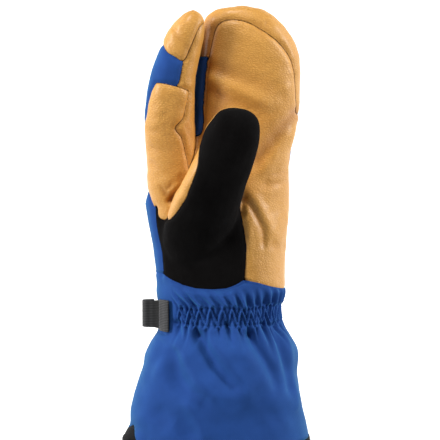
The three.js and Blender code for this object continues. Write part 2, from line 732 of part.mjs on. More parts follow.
// The pull loop: one length of webbing, its tail sewn to the wrist and the rest standing out.
// It clears the cloth at its lower edge, where the wrist is widest.
const wristPoint = (turn, out) => {
  const { left, right, deep } = between(gauntletSections, (loopHeight - webbingWidth / 2) / cuffHeight);
  return onSection(turn, left * gauntletWidth - out, right * gauntletWidth + out, 0, deep * gauntletDepth + out, 0);
};
const loopEdge = wristPoint(0.5, 0);
const loopTailOut = loopClearance + webbingThickness / 2;
const webbingLine = new THREE.SplineCurve([
  ...loopTailTurns.map((turn) => wristPoint(turn, loopTailOut)).map(({ x, y }) => new THREE.Vector2(x, y)),
  ...loopPath.map(({ out, forward }) => new THREE.Vector2(loopEdge.x - out * loopReach, -forward * loopEye)),
]).getSpacedPoints(webbingSteps);
const webbingSide = (distance) =>
  webbingLine.map((point, i) => {
    const before = webbingLine[Math.max(i - 1, 0)];
    const after = webbingLine[Math.min(i + 1, webbingLine.length - 1)];
    const along = after.clone().sub(before).normalize();
    return new THREE.Vector2(point.x + along.y * distance, point.y - along.x * distance);
  });
const webbingShape = new THREE.Shape(
  anticlockwise([...webbingSide(webbingThickness / 2), ...webbingSide(-webbingThickness / 2).reverse()]),
);
const webbing = new THREE.ExtrudeGeometry(webbingShape, { depth: webbingWidth, bevelEnabled: false });
webbing.translate(0, 0, loopHeight - webbingWidth / 2);
addPiece("pull_loop", webbing, materials.webbing);

// The origin goes under the middle of the mitt's box.
const bounds = new THREE.Box3().setFromObject(mitt);
const middle = bounds.getCenter(new THREE.Vector3());
for (const piece of mitt.children) {
  piece.geometry.translate(-middle.x, -middle.y, -bounds.min.z);
}
mitt.updateMatrixWorld(true);
export default mitt;
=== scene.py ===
import math

import bmesh
import bpy
import numpy as np
from mathutils.bvhtree import BVHTree
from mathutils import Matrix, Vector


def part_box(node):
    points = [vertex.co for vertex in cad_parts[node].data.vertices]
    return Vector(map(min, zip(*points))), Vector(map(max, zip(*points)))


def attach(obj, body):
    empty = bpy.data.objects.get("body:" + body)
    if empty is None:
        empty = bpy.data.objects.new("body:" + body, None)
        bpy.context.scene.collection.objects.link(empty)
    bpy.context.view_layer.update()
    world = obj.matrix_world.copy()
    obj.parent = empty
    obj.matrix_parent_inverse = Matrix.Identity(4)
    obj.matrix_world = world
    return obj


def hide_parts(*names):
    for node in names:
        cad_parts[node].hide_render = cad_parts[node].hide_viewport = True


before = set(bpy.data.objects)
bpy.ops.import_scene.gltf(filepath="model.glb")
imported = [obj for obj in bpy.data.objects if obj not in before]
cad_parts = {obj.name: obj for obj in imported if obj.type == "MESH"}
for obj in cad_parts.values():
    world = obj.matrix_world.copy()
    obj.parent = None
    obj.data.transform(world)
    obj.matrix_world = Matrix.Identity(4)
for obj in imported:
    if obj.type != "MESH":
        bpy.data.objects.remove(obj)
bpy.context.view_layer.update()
print("frame loaded")

mm = 0.001
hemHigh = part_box("hem_binding")[1]
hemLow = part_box("hem_binding")[0]

# The gauntlet's sections, from the hem up: height, left and right edges, and half depth, in mm.
gauntlet = {
    "sections": [
        (-2, -72.5, 72.5, 56),
        (0, -72.5, 72.5, 56),
        (12, -72.1, 71.5, 55),
        (25, -71.5, 69, 54),
        (35, -70.8, 66.6, 53),
        (46, -68.7, 65, 52),
        (58, -65.8, 63.5, 51),
        (70, -62.1, 62.9, 50),
        (80, -59.6, 61.8, 48.5),
        (87, -56.5, 59.7, 46.5),
        (93, -52.5, 56.5, 43.6),
        (100, -48.4, 52.3, 40),
        (108.5, -47, 48.9, 37.4),
        (114, -47.3, 48, 37),
        (119.5, -47.9, 48, 37),
        (130, -50, 51, 37),
        (136, -49.7, 51.2, 36.5),
        (152, -50, 51.5, 35),
    ],
    "power": 0.9,
    "lip": 0.6,
    "hem": 12.2,
    "cuffLip": 0.9,
    "wall": 2.4,
    "turns": 420,
    "plainRows": (88, 31),
    "gatherRows": (128, 69),
    "upperRows": (128.6, 130, 3),
    "cuffRows": 9,
    "rimHeight": 136.0,
    "clearFrom": 119,
    "castFrom": 20,
    "facing": (0.0, 0.5),
    "foldsFrom": (11, 24),
    "wavesFrom": (12, 30),
    "waves": [(46, 11, 0.9), (19, 12, 0.28)],
    "gathers": 34,
    "gatherTops": [-32.0, -23.8, -15.9, -7.7, 1.6, 9.5, 17.0, 23.3, 29.1],
    "upperRow": 118.9,
    "lowerRow": 106.4,
    "gatherDepth": 2.8,
    "rowPinch": 0.3,
    "rowWidth": 0.9,
    "aboveFade": 17,
    "belowFade": 20,
    "flatUnderLoop": (0.545, 0.065, 0.085),
    "flareHeight": 24,
    "flareRise": 14,
    "flare": 6,
    "flareTurn": 0.52,
    "flareSpread": 0.085,
}
# The elastic's folds: shares of the gathers' depth, powers of their crests, and ripples round the
# wrist as height, how many and where they start.
gather = {
    "ridgePower": 7,
    "puff": 0.8,
    "puffPower": 1.3,
    "above": 1.6,
    "abovePower": 1.2,
    "below": 0.95,
    "belowPower": 2.5,
    "belowEnd": 1.3,
    "belowLean": 1.2,
    "lean": 8.5,
    "leanChange": 7,
    "blend": (0.2, 4.0),
    "rise": 1.3,
    "sink": 0.85,
    "shiftRipples": [(0.06, 11, 0.6)],
    "upperRipples": [(0.7, 7, 0), (0.5, 17, 0)],
    "lowerRipples": [(0.7, 6, 0.3), (0.5, 19, 0)],
    "depthRipples": [(0.18, 9, 0.1), (0.15, 13, 0.7)],
}
middle = np.array(
    [
        hemHigh.x - (gauntlet["sections"][1][2] + gauntlet["lip"]) * mm,
        hemLow.y + (gauntlet["sections"][1][3] + gauntlet["lip"]) * mm,
        0,
    ]
)

hand = {
    "nodes": {
        "palm_panel": "palmPanel",
        "finger_cap": "fingerCap",
        "back_panel": "backPanel",
        "index_face": "indexFace",
        "index_fork_strip": "indexForkStrip",
        "index_tip": "indexTip",
        "thumb_back": "thumbBack",
        "thumb_inner": "thumbInner",
    },
    "closing": 0.35,
    "voxel": 1.05,
    "smoothing": 50,
    "smoothingRates": (0.6, -0.5),
    "rimSlope": -0.45,
    "rimAbove": 2.5,
    "thickness": {"leather": 1.5, "cloth": 1.3},
    "seamGap": 0.16,
    "seamDepth": 1.0,
    "seamWidth": 1.5,
    "puff": 0.35,
    "raised": {"index_face": 0.7},
    "raisedEdge": 0.4,
    "facing": (0.05, 0.5),
    "softWaves": (34, 3, 0.35),
    "leatherWaves": (13, 4, 0.14),
    "tuck": 3.0,
    "tuckIn": 1.2,
    "tuckBelow": 152,
}
handSlots = {"thumb_back": "black_fleece", "back_panel": "blue_shell"}

# The cuff's upper edge as the palm side shows it: across and height, in mm.
cuffEdge = [
    (-102.6, 148.1),
    (-50.2, 145.8),
    (-43.9, 144),
    (-37.4, 140.2),
    (-29.8, 137),
    (-19.3, 134.7),
    (-4.6, 134.1),
    (5.7, 135),
    (12.5, 137.7),
    (19.2, 141.3),
    (30, 139),
    (38.5, 136.1),
    (47.5, 133.2),
    (53.6, 130.9),
    (102.6, 130.9),
]

# Soft creases seen from the palm side: the line's points (across, height), the depths at its
# start and end, and its width, in mm. A negative depth is a ridge.
palmCreases = [
    ([(-17, 332), (-19, 262)], 4.6, 3.6, 15),
    ([(-8, 301), (12, 292), (36, 280)], -2.2, -1.2, 4.5),
    ([(-14, 311), (10, 302), (40, 292)], 1.6, 0.8, 6),
    ([(-9, 290), (14, 280), (30, 273)], 1.4, 0.8, 5),
    ([(31, 342), (33, 330)], 1.8, 0.6, 1.5),
    ([(36, 342), (39, 331)], 1.5, 0.5, 1.4),
    ([(27, 344), (27, 336)], 1.0, 0.4, 1.4),
    ([(66, 273), (57, 273)], 1.4, 0.5, 1.8),
    ([(60, 271), (46, 256), (30, 236)], 2.4, 2.2, 6),
    ([(60, 257), (48, 243), (36, 228)], -2.0, -1.4, 6),
    ([(38, 224), (56, 226)], 1.0, 0.4, 3.5),
    ([(36, 217), (58, 218)], 0.8, 0.4, 3),
    ([(20, 206), (27, 195), (34, 181), (35, 168)], 3.0, 1.4, 1.7),
    ([(27, 207), (35, 193), (41, 178)], -1.5, -0.8, 4),
    ([(19, 207), (18, 193)], 2.6, 2.2, 1.8),
    ([(24, 186), (22, 170)], -1.0, -0.6, 3),
    ([(42, 168), (54, 164)], 0.7, 0.3, 3),
]
indexCreases = [
    ([(-39, 204), (-36, 209), (-33, 213)], 7.0, 1.6, 1.9),
    ([(-46, 215), (-42, 208)], 0.8, 2.6, 1.8),
    ([(-40, 214), (-36, 220)], 1.6, 0.4, 1.6),
    ([(-31, 224), (-28, 214)], 1.3, 0.6, 2),
    ([(-53, 234), (-44, 226)], 1.0, 0.4, 2.0),
    ([(-53, 246), (-38, 240)], 0.7, 0.3, 2.6),
    ([(-53, 260), (-40, 254)], 0.6, 0.3, 2.4),
    ([(-26, 262), (-21, 250)], 0.7, 0.3, 1.6),
    ([(-35, 338), (-29, 328), (-24, 320)], 1.3, 0.5, 1.6),
    ([(-40, 330), (-36, 322)], 0.6, 0.3, 2),
    ([(-27, 349), (-33, 344)], 0.9, 0.5, 1.3),
]
gauntletFolds = [
    ([(-17, 97), (-9, 85), (-1, 73), (10, 60)], 7.6, 3.2, 5.4),
    ([(24, 98), (31, 88), (38, 77), (44, 60)], 7.4, 3.0, 4.8),
    ([(-38, 82), (-34, 66), (-25, 56), (-14, 49)], 5.5, 3.5, 8),
    ([(-36, 90), (-28, 80), (-17, 66), (-6, 53)], -1.8, -1.4, 5),
    ([(-10, 100), (3, 85), (13, 72), (20, 57)], -1.2, -2.0, 7),
    ([(19, 84), (27, 70)], -1.6, -0.6, 5.0),
    ([(-14, 50), (22, 52), (54, 46)], -3.4, -2.4, 15),
    ([(-44, 38), (-32, 36), (-25, 26), (-21, 10)], 2.8, 3.6, 9),
    ([(-24, 46), (-15, 30), (-12, 10)], -1.6, -1.6, 6),
    ([(44, 103), (49, 90), (53, 74), (55, 54)], 5.0, 1.5, 3.4),
    ([(52, 97), (57, 82), (59, 62), (60, 40)], -1.8, -1.0, 3.0),
    ([(6, 107), (8, 92)], 4.5, 0.6, 2.4),
    ([(-34, 107), (-31, 94)], 4.0, 0.6, 2.4),
    ([(34, 106), (40, 93), (45, 80)], 4.0, 0.8, 2.8),
    ([(-54, 98), (-45, 97)], 3.0, 1.5, 2.0),
    ([(-48, 90), (-56, 66)], 2.0, 1.0, 4),
]
backFolds = [
    ([(-30, 100), (-40, 66)], 3.08, 3.08, 5),
    ([(-6, 100), (-14, 60)], 3.36, 3.36, 5),
    ([(18, 100), (8, 56)], 3.08, 3.08, 5.5),
    ([(38, 98), (36, 60)], 2.8, 2.8, 5),
    ([(-46, 50), (10, 26)], 2.8, 2.8, 13),
    ([(26, 46), (50, 20)], 2.24, 2.24, 9),
]
backHandFolds = [
    ([(-40, 188), (8, 180)], 1.4, 1.4, 6),
    ([(-20, 214), (40, 206)], 1.26, 1.26, 7),
    ([(-8, 246), (50, 240)], 1.26, 1.26, 7),
    ([(10, 285), (56, 276)], 0.98, 0.98, 6),
    ([(-34, 236), (-28, 218)], 1.68, 1.68, 4),
    ([(-50, 262), (-36, 258)], 0.7, 0.7, 4),
]

loop = {
    "overlap": [0.556, 0.569, 0.582, 0.593],
    "turn": 0.601,
    "tail": [0.596, 0.586, 0.576, 0.568],
    "path": [
        (0.18, 1.74),
        (0.5, 1.62),
        (0.8, 1.5),
        (0.945, 1.2),
        (0.93, 0.8),
        (0.75, 0.56),
        (0.5, 0.5),
        (0.3, 0.46),
    ],
    "reach": 13.5,
    "eye": 8,
    "height": 112,
    "width": 25,
    "thickness": 1.2,
    "clearance": 0.3,
    "layerGap": 0.2,
    "edgeShare": 0.45,
    "edgeWidth": 1.2,
    # Painted light and shade along the strip, as shares of its length: the sewn tail painted lit, the loop
    # painted dark as shade, with painted highlights at a fold and at its far bend.
    "paintedLight": [
        (0.0, 1.0),
        (0.018, 1.0),
        (0.03, 0.5),
        (0.28, 0.5),
        (0.4, 0.02),
        (0.5, 0.05),
        (0.58, 0.14),
        (0.615, 0.34),
        (0.65, 0.14),
        (0.69, 0.18),
        (0.74, 0.42),
        (0.86, 0.12),
    ],
    "narrower": 0.14,
    "narrowing": (0.35, 0.6),
    "footRise": 0.6,
    "steps": 170,
    "rows": 40,
}

# The gusset's corners as depth and height, what it keeps below them, and its gap, in mm.
gusset = {
    "apex": (-19.0, 24.0),
    "front": (-31.0, 12.0),
    "back": (15.0, 12.0),
    "below": 4,
    "gap": 0.03,
    "far": 50,
}

# The hem tape's profile: how far out, and height, in mm.
hemProfile = [(0.1, 0.0), (0.5, 0.5), (0.75, 2), (0.6, 3), (0.8, 4.2), (0.9, 7), (0.8, 9), (0.45, 9.7)]
hemProfile += [(0.8, 10.4), (0.7, 11.6), (0.2, 12.1), (-1.2, 12.2), (-3.2, 12.2), (-4.3, 11.8), (-4.7, 10)]
hemProfile += [(-4.7, 5), (-4.6, 1), (-4.0, 0.1), (-2, 0)]
hemTurns = 260

leather = {
    "tones": [(0.3, (0.57, 0.278, 0.049)), (0.55, (0.60, 0.300, 0.058)), (0.75, (0.63, 0.322, 0.068))],
    "grain": [(0.0, (0.89, 0.84, 0.77)), (0.5, (1, 1, 1))],
    # The leather's painted shade in its folds: darker and more orange where the creases press in, over
    # pressedRange's depths in mm.
    "pressed": [(0.0, (1, 1, 1)), (0.3, (0.97, 0.96, 0.94)), (1.0, (0.5, 0.32, 0.12))],
    "pressedRange": (-2.0, 5.0),
    # Painted shade in the stitched grooves, over the distance to the seam in mm.
    "seam": [(0.0, (0.3, 0.24, 0.21)), (0.75, (1, 1, 1))],
    "roughness": 0.5,
    "shine": 0.4,
    "coat": 0.22,
    "coatRoughness": 0.3,
}
cloths = {
    "blue_shell": {
        "name": "blueShell",
        "tones": [(0.3, (0.0115, 0.046, 0.205)), (0.7, (0.014, 0.055, 0.24))],
        "weave": 1900.0,
        "bump": 0.35,
        "sheen": 0.24,
        "tint": (0.14, 0.8, 0.85),
        "roughness": 0.8,
        "shine": 0.12,
    },
    "black_fleece": {
        "name": "blackFleece",
        "tones": [(0.3, (0.0035, 0.003, 0.003)), (0.7, (0.006, 0.0055, 0.0055))],
        "weave": 2600.0,
        "bump": 0.5,
        "sheen": 0.01,
        "tint": (1, 1, 1),
        "roughness": 0.95,
        "shine": 0.03,
    },
    "black_trim": {
        "name": "blackTrim",
        "tones": [(0.3, (0.005, 0.005, 0.006)), (0.7, (0.009, 0.009, 0.01))],
        "weave": 1500.0,
        "bump": 0.5,
        "sheen": 0.03,
        "tint": (1, 1, 1),
        "roughness": 0.85,
        "shine": 0.08,
    },
}
webbing = {
    "ribs": 240.0,
    "ribTones": [(0.1, (0.03, 0.03, 0.031)), (0.9, (0.11, 0.11, 0.116))],
    # How far the strip's painted shade darkens it.
    "paintedLightTones": [(0.0, (0.1, 0.1, 0.1)), (1.0, (1, 1, 1))],
    "roughness": 0.7,
    "sheen": 0.1,
    "shine": 0.2,
}


# Smooth noise, mostly between -1 and 1, that varies over size.
def waves(points, size, seed, count=14):
    random = np.random.default_rng(seed)
    total = np.zeros(len(points))
    for _ in range(count):
        direction = random.normal(size=3)
        direction *= random.uniform(0.6, 1.5) * 2 * math.pi / (size * np.linalg.norm(direction))
        total += np.sin(points @ direction + random.uniform(0, 2 * math.pi))
    return total / math.sqrt(count)


# One layer of waves, in metres: its size, its seed and its height in mm.
def waveLayer(points, layer):
    size, seed, height = layer
    return waves(points, size * mm, seed) * height * mm


def easing(value, low, high):
    share = np.clip((value - low) / (high - low), 0, 1)
    return share * share * (3 - 2 * share)


def uniqueEdges(faces):
    pairs = np.concatenate([faces[:, [0, 1]], faces[:, [1, 2]], faces[:, [2, 0]]])
    return np.unique(np.sort(pairs, axis=1), axis=0)


# Values moved towards their neighbours' mean; back undoes the shrinking of a shape.
def relaxed(values, edges, rounds, rate=0.5, back=0.0):
    flat = values.reshape(len(values), -1).copy()
    count = np.bincount(edges.ravel(), minlength=len(flat)).clip(1)
    for _ in range(rounds):
        for step in (rate, back):
            if step == 0:
                continue
            for column in range(flat.shape[1]):
                old = flat[:, column]
                total = np.bincount(edges[:, 0], weights=old[edges[:, 1]], minlength=len(old))
                total += np.bincount(edges[:, 1], weights=old[edges[:, 0]], minlength=len(old))
                flat[:, column] = old + step * (total / count - old)
    return flat.reshape(values.shape)


def pointNormals(points, faces):
    corners = points[faces]
    flat = np.cross(corners[:, 1] - corners[:, 0], corners[:, 2] - corners[:, 0])
    normals = np.stack(
        [
            sum(np.bincount(faces[:, c], weights=flat[:, axis], minlength=len(points)) for c in range(3))
            for axis in range(3)
        ],
        axis=1,
    )
    return normals / np.linalg.norm(normals, axis=1, keepdims=True).clip(1e-12)


# How far soft creases press in, seen along Y.
def creaseDepth(points, rows):
    flat = (points - middle)[:, [0, 2]] / mm
    total = np.zeros(len(points))
    for line, startDepth, endDepth, width in rows:
        line = np.array(line, float)
        away = np.full(len(points), np.inf)
        along = np.zeros(len(points))
        for k, (start, end) in enumerate(zip(line, line[1:])):
            step = end - start
            share = np.clip((flat - start) @ step / (step @ step), 0, 1)
            distance = np.linalg.norm(flat - start - share[:, None] * step, axis=1)
            nearer = distance < away
            away = np.where(nearer, distance, away)
            along = np.where(nearer, (k + share) / (len(line) - 1), along)
        total += (startDepth + (endDepth - startDepth) * along) * np.exp(-((away / width) ** 2))
    return total * mm


def compacted(points, faces):
    used = np.unique(faces)
    order = np.full(len(points), -1)
    order[used] = np.arange(len(used))
    return points[used], order[faces]


# The part of a surface where the field is above zero, cut smoothly between points.
def clipped(points, faces, field):
    corners = (field > 0)[faces]
    count = corners.sum(axis=1)
    cutFaces = []
    for wanted in (1, 2):
        mixed = faces[count == wanted]
        odd = corners[count == wanted] == (wanted == 1)
        turn = odd.argmax(axis=1)
        cutFaces.append(np.stack([mixed[np.arange(len(mixed)), (turn + k) % 3] for k in range(3)], axis=1))
    pairs = np.concatenate([rolled[:, [0, k]] for rolled in cutFaces for k in (1, 2)])
    unique, place = np.unique(np.sort(pairs, axis=1), axis=0, return_inverse=True)
    low, high = field[unique[:, 0]], field[unique[:, 1]]
    share = np.clip(low / (low - high), 0.03, 0.97)[:, None]
    cuts = points[unique[:, 0]] * (1 - share) + points[unique[:, 1]] * share
    one, two = cutFaces
    ends = np.cumsum([len(one), len(one), len(two)])
    oneSecond, oneThird, twoSecond, twoThird = np.split(place.ravel() + len(points), ends)
    kept = [
        faces[count == 3],
        np.stack([one[:, 0], oneSecond, oneThird], axis=1),
        np.stack([twoSecond, two[:, 1], two[:, 2]], axis=1),
        np.stack([twoSecond, two[:, 2], twoThird], axis=1),
    ]
    return compacted(np.concatenate([points, cuts]), np.concatenate(kept))


# Two triangles for each cell of a grid, from its four corners.
def cellFaces(a, b, c, d):
    halves = [np.stack(half, axis=-1).reshape(-1, 3) for half in ([a, b, c], [a, c, d])]
    return np.concatenate(halves)


# The points' columns after the third go to the named attributes, in mm.
def pieceOf(name, points, faces, material, thickness=0.0, columns=()):
    mesh = bpy.data.meshes.new(name)
    mesh.from_pydata(points[:, :3].tolist(), [], faces.tolist())
    for place, column in enumerate(columns, 3):
        values = mesh.attributes.new(column, "FLOAT", "POINT")
        values.data.foreach_set("value", (points[:, place] / mm).astype(np.float32))
    mesh.polygons.foreach_set("use_smooth", np.ones(len(mesh.polygons), bool))
    mesh.update()
    piece = bpy.data.objects.new(name, mesh)
    bpy.context.scene.collection.objects.link(piece)
    mesh.materials.append(material)
    if thickness:
        wall = piece.modifiers.new("wall", "SOLIDIFY")
        wall.thickness = thickness * mm
        wall.offset = -1
        wall.use_even_offset = False
    return piece


# Materials.
def shader(name):
    material = bpy.data.materials.new(name)
    material.use_nodes = True
    tree = material.node_tree
    return material, tree, tree.nodes["Principled BSDF"], tree.links


def node(tree, kind, **values):
    made = tree.nodes.new(kind)
    for key, value in values.items():
        if key in made.inputs:
            made.inputs[key].default_value = value
        else:
            setattr(made, key, value)
    return made


def ramp(tree, source, stops):
    made = tree.nodes.new("ShaderNodeValToRGB")
    tree.links.new(source, made.inputs["Fac"])
    elements = made.color_ramp.elements
    while len(elements) < len(stops):
        elements.new(0.5)
    for element, (place, colour) in zip(elements, stops):
        element.position = place
        element.color = (*colour, 1)
    return made.outputs["Color"]


# The product of two colours.
def multiplied(tree, first, second):
    mix = node(tree, "ShaderNodeMix", data_type="RGBA", blend_type="MULTIPLY")
    mix.inputs["Factor"].default_value = 1.0
    tree.links.new(first, mix.inputs["A"])
    tree.links.new(second, mix.inputs["B"])
    return mix.outputs["Result"]


def objectPlace(tree):
    return tree.nodes.new("ShaderNodeTexCoord").outputs["Object"]


# A value that pieceOf stored at the points.
def stored(tree, name):
    return node(tree, "ShaderNodeAttribute", attribute_name=name).outputs["Fac"]


def bumped(tree, height, strength, distance):
    bump = node(tree, "ShaderNodeBump", Strength=strength, Distance=distance)
    tree.links.new(height, bump.inputs["Height"])
    return bump


def leatherMaterial():
    material, tree, surface, links = shader("leather")
    where = objectPlace(tree)
    stretch = node(tree, "ShaderNodeMapping")
    stretch.inputs["Scale"].default_value = (0.7, 1, 1.35)
    links.new(where, stretch.inputs["Vector"])
    blotch = node(tree, "ShaderNodeTexNoise", Scale=34.0, Detail=5.0, Roughness=0.6)
    pebbles = node(tree, "ShaderNodeTexVoronoi", Scale=520.0, Randomness=1.0)
    pebbles.feature = "DISTANCE_TO_EDGE"
    wrinkle = node(tree, "ShaderNodeTexNoise", Scale=260.0, Detail=4.0, Roughness=0.55, Distortion=0.8)
    links.new(where, blotch.inputs["Vector"])
    links.new(stretch.outputs["Vector"], pebbles.inputs["Vector"])
    links.new(stretch.outputs["Vector"], wrinkle.inputs["Vector"])
    cushion = node(tree, "ShaderNodeMapRange", interpolation_type="SMOOTHSTEP")
    cushion.inputs["From Max"].default_value = 0.3
    links.new(pebbles.outputs["Distance"], cushion.inputs["Value"])
    depth = node(tree, "ShaderNodeMapRange")
    depth.inputs["From Min"].default_value = leather["pressedRange"][0]
    depth.inputs["From Max"].default_value = leather["pressedRange"][1]
    links.new(stored(tree, "pressed"), depth.inputs["Value"])
    # The tone of the hide, then the grain, then painted shade that darkens it in the folds and in the
    # stitched grooves.
    colour = ramp(tree, blotch.outputs["Fac"], leather["tones"])
    colour = multiplied(tree, colour, ramp(tree, cushion.outputs["Result"], leather["grain"]))
    colour = multiplied(tree, colour, ramp(tree, depth.outputs["Result"], leather["pressed"]))
    # Painted shade along the stitched grooves.
    colour = multiplied(tree, colour, ramp(tree, stored(tree, "seam"), leather["seam"]))
    links.new(colour, surface.inputs["Base Color"])
    fine = bumped(tree, cushion.outputs["Result"], 0.4, 0.0004)
    coarse = bumped(tree, wrinkle.outputs["Fac"], 0.3, 0.001)
    links.new(fine.outputs["Normal"], coarse.inputs["Normal"])
    links.new(coarse.outputs["Normal"], surface.inputs["Normal"])
    surface.inputs["Roughness"].default_value = leather["roughness"]
    surface.inputs["Specular IOR Level"].default_value = leather["shine"]
    surface.inputs["Coat Weight"].default_value = leather["coat"]
    surface.inputs["Coat Roughness"].default_value = leather["coatRoughness"]
    return material


def clothMaterial(cloth):
    material, tree, surface, links = shader(cloth["name"])
    where = objectPlace(tree)
    patchy = node(tree, "ShaderNodeTexNoise", Scale=60.0, Detail=4.0, Roughness=0.6)
    threads = node(tree, "ShaderNodeTexNoise", Scale=cloth["weave"], Detail=2.0, Roughness=0.7)
    for texture in (patchy, threads):
        links.new(where, texture.inputs["Vector"])
    links.new(ramp(tree, patchy.outputs["Fac"], cloth["tones"]), surface.inputs["Base Color"])
    bump = bumped(tree, threads.outputs["Fac"], cloth["bump"], 0.0003)
    links.new(bump.outputs["Normal"], surface.inputs["Normal"])
    surface.inputs["Roughness"].default_value = cloth["roughness"]
    surface.inputs["Sheen Weight"].default_value = cloth["sheen"]
    surface.inputs["Sheen Tint"].default_value = (*cloth["tint"], 1)
    surface.inputs["Specular IOR Level"].default_value = cloth["shine"]
    return material


def webbingMaterial():
    material, tree, surface, links = shader("webbing")
    ribs = node(tree, "ShaderNodeTexWave", Scale=webbing["ribs"], Distortion=0.5, Detail=1.0)
    ribs.bands_direction = "Z"
    ribs.inputs["Detail Scale"].default_value = 3.0
    links.new(objectPlace(tree), ribs.inputs["Vector"])
    # Painted light and shade from the strip's table, multiplied into the ribs' colour.
    tone = ramp(tree, stored(tree, "paintedLight"), webbing["paintedLightTones"])
    rib = ramp(tree, ribs.outputs["Fac"], webbing["ribTones"])
    links.new(multiplied(tree, rib, tone), surface.inputs["Base Color"])
    bump = bumped(tree, ribs.outputs["Fac"], 0.6, 0.0004)
    links.new(bump.outputs["Normal"], surface.inputs["Normal"])
    surface.inputs["Roughness"].default_value = webbing["roughness"]
    surface.inputs["Sheen Weight"].default_value = webbing["sheen"]
    surface.inputs["Specular IOR Level"].default_value = webbing["shine"]
    return material


materials = {"leather": leatherMaterial(), "webbing": webbingMaterial()}
for slotName, cloth in cloths.items():
    materials[slotName] = clothMaterial(cloth)
print("materials made")


# The cuff's upper edge: the palm side follows the table, and the back runs straight across.
def cuffTop(across, deep):
    palm = np.interp(across, *zip(*cuffEdge))
    back = np.interp(across, *zip(cuffEdge[1], cuffEdge[-2]))
    return np.where(deep < 0, palm, back)


# One smooth skin round the whole hand, from the solids of its panels.
def handShell():
    joined = bmesh.new()
    trees = {}
    for name in hand["nodes"]:
        copy = bmesh.new()
        copy.from_mesh(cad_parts[name].data)
        bmesh.ops.remove_doubles(copy, verts=copy.verts, dist=1e-6)
        copy.normal_update()
        trees[name] = BVHTree.FromBMesh(copy)
        for point in copy.verts:
            point.co += point.normal * hand["closing"] * mm
        mesh = bpy.data.meshes.new("copy")
        copy.to_mesh(mesh)
        joined.from_mesh(mesh)
        copy.free()
        bpy.data.meshes.remove(mesh)
    mesh = bpy.data.meshes.new("hand")
    joined.to_mesh(mesh)
    joined.free()
    block = bpy.data.objects.new("hand", mesh)
    bpy.context.scene.collection.objects.link(block)
    remesh = block.modifiers.new("remesh", "REMESH")
    remesh.mode = "VOXEL"
    remesh.voxel_size = hand["voxel"] * mm
    bpy.context.view_layer.update()
    fine = bpy.data.meshes.new_from_object(block.evaluated_get(bpy.context.evaluated_depsgraph_get()))
    points = np.zeros(len(fine.vertices) * 3)
    fine.vertices.foreach_get("co", points)
    points = points.reshape(-1, 3)
    fine.calc_loop_triangles()
    faces = np.zeros(len(fine.loop_triangles) * 3, np.int32)
    fine.loop_triangles.foreach_get("vertices", faces)
    faces = faces.reshape(-1, 3).astype(np.int64)
    bpy.data.objects.remove(block)
    bpy.data.meshes.remove(mesh)
    bpy.data.meshes.remove(fine)
    return points, faces, trees


# The outside alone: the rim at the wrist goes, and then what isn't joined to the fingertip.
def outerSkin(points, faces):
    corners = points[faces]
    flat = np.cross(corners[:, 1] - corners[:, 0], corners[:, 2] - corners[:, 0])
    flat /= np.linalg.norm(flat, axis=1, keepdims=True).clip(1e-15)
    centre = corners.mean(axis=1) - middle
    edge = cuffTop(centre[:, 0] / mm, centre[:, 1]) * mm
    rim = (flat[:, 2] < hand["rimSlope"]) & (centre[:, 2] < edge + hand["rimAbove"] * mm)
    faces = faces[~rim]
    edges = uniqueEdges(faces)
    group = np.arange(len(points))
    while True:
        best = group.copy()
        np.minimum.at(best, edges[:, 0], group[edges[:, 1]])
        np.minimum.at(best, edges[:, 1], group[edges[:, 0]])
        best = best[best]
        if (best == group).all():
            break
        group = best
    top = group[faces[points[faces[:, 0], 2].argmax(), 0]]
    return compacted(points, faces[group[faces[:, 0]] == top])


# The lower border carried down a little, inside the cuff.
def tucked(points, faces):
    half = np.concatenate([faces[:, [0, 1]], faces[:, [1, 2]], faces[:, [2, 0]]])
    key = np.sort(half, axis=1)
    _, place, count = np.unique(key, axis=0, return_inverse=True, return_counts=True)
    border = half[count[place.ravel()] == 1]
    low = points[border][:, :, 2].max(axis=1) < hand["tuckBelow"] * mm
    border = border[low]
    for _ in range(2):
        ring = np.unique(border)
        order = {old: len(points) + i for i, old in enumerate(ring)}
        inward = points[ring] - middle
        inward[:, 2] = 0
        inward /= np.linalg.norm(inward, axis=1, keepdims=True)
        lower = points[ring] - inward * hand["tuckIn"] * mm
        lower[:, 2] -= hand["tuck"] * mm
        points = np.concatenate([points, lower])
        below = np.array([[order[a], order[b]] for a, b in border])
        faces = np.concatenate(
            [
                faces,
                np.stack([border[:, 1], border[:, 0], below[:, 0]], axis=1),
                np.stack([border[:, 1], below[:, 0], below[:, 1]], axis=1),
            ]
        )
        border = below
    return points, faces


points, faces, nodeTrees = handShell()
points, faces = outerSkin(points, faces)
print("hand skin:", len(points), "points")
edges = uniqueEdges(faces)
points = relaxed(points, edges, hand["smoothing"], *hand["smoothingRates"])
points, faces = tucked(points, faces)
edges = uniqueEdges(faces)

names = list(hand["nodes"])
distances = np.stack(
    [np.array([nodeTrees[name].find_nearest(point)[3] for point in points]) for name in names], axis=1
)
distances = relaxed(distances, edges, 5)
order = np.sort(distances, axis=1)
owner = distances.argmin(axis=1)
toSeam = order[:, 1] - order[:, 0]
print("panels found")

normals = relaxed(pointNormals(points, faces), edges, 4)
normals /= np.linalg.norm(normals, axis=1, keepdims=True)
front = easing(-normals[:, 1], *hand["facing"])
rear = easing(normals[:, 1], *hand["facing"])
isLeather = np.array([name not in handSlots for name in names])[owner]
inward = np.zeros(len(points))
palmSide = np.isin(owner, [names.index("palm_panel"), names.index("finger_cap")])
indexSide = np.isin(owner, [names.index(name) for name in ("index_face", "index_fork_strip", "index_tip")])
# How deep the creases press in: this moves the skin and also sets the leather's painted shade in the folds.
pressed = creaseDepth(points, palmCreases) * palmSide + creaseDepth(points, indexCreases) * indexSide
pressed = relaxed(pressed, edges, 3)
inward += pressed * front
